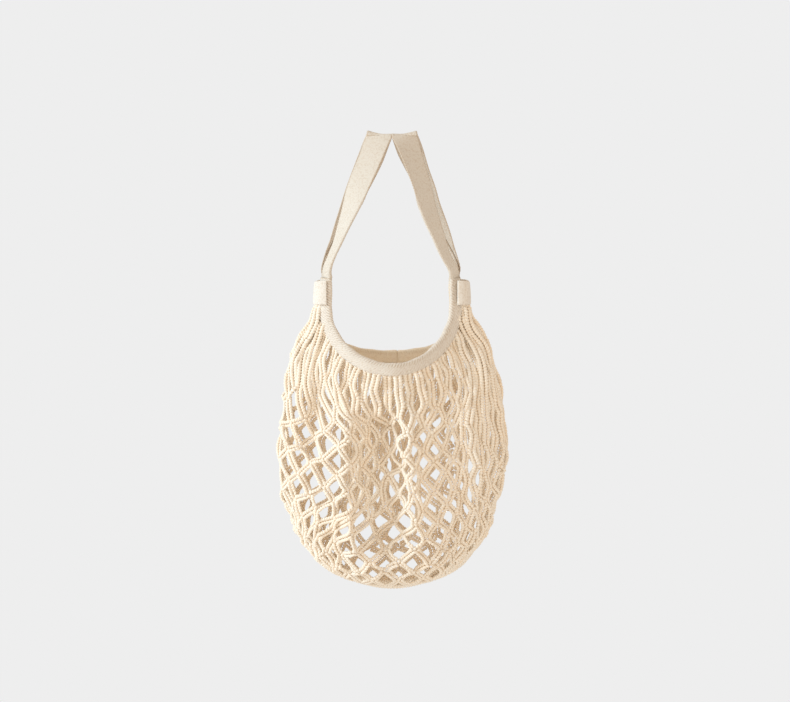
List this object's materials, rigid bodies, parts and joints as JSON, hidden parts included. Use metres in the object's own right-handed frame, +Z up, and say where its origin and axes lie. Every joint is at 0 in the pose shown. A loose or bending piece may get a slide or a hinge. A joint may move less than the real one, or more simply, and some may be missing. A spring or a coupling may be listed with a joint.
{
  "type": "net shopping bag with two strap loops, hanging empty",
  "caption": "Soft hanging net bag of knitted cotton cord with a wide tape-bound mouth, side tabs and two tape strap loops.",
  "frame": {"origin": "the peg that the bag hangs from, right under the tops of both strap loops", "axes": "+Z up, along the way the bag hangs; X across the bag; -Y is its front"},
  "size_m": [0.292, 0.1289, 0.5755],
  "materials": {
    "cord_cotton": "matte knitted cotton cord",
    "tape_cotton": "matte woven cotton tape"
  },
  "bodies": {
    "root": {"net_body": "cord_cotton", "front_rim_tape": "tape_cotton", "back_rim_tape": "tape_cotton", "left_strap": "tape_cotton", "right_strap": "tape_cotton", "left_side_tab": "tape_cotton", "right_side_tab": "tape_cotton"}
  },
  "joints": []
}
